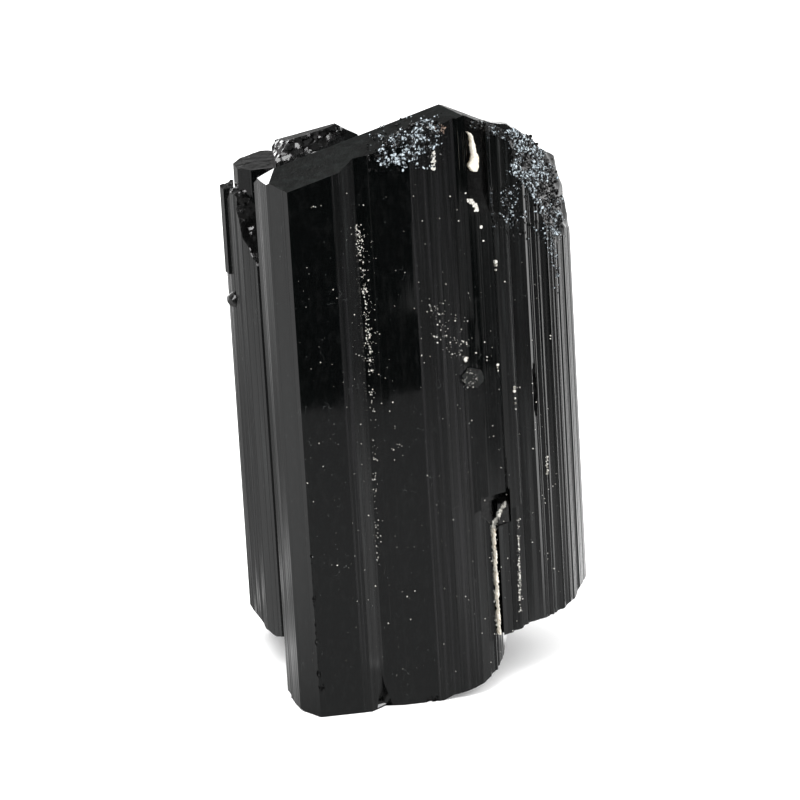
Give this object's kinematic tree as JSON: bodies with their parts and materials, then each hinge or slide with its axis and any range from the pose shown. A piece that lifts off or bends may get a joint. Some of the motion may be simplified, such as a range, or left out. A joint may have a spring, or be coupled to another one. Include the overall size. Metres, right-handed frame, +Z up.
{
  "type": "tourmaline crystal",
  "caption": "Upright group of black tourmaline prisms grown side by side, with striated faces, a low pyramid end, cream feldspar fillings and a flat broken base that it stands on.",
  "frame": {"origin": "centre of the bounding box at the level of the surface that the specimen stands on", "axes": "+Z up, near the long axis of the crystals; the widest front faces and the front pyramid face look to -Y; +X is to the right seen from the front"},
  "size_m": [0.037, 0.031, 0.0588],
  "materials": {
    "tourmaline": "opaque black, glassy and finely striated along the prisms, dull on the pyramid faces, rough where broken",
    "feldspar": "opaque cream white, matt with small cleavage glints"
  },
  "bodies": {
    "root": {"tourmaline_crystal": "tourmaline", "feldspar_blade": "feldspar", "feldspar_seam": "feldspar"}
  },
  "joints": []
}
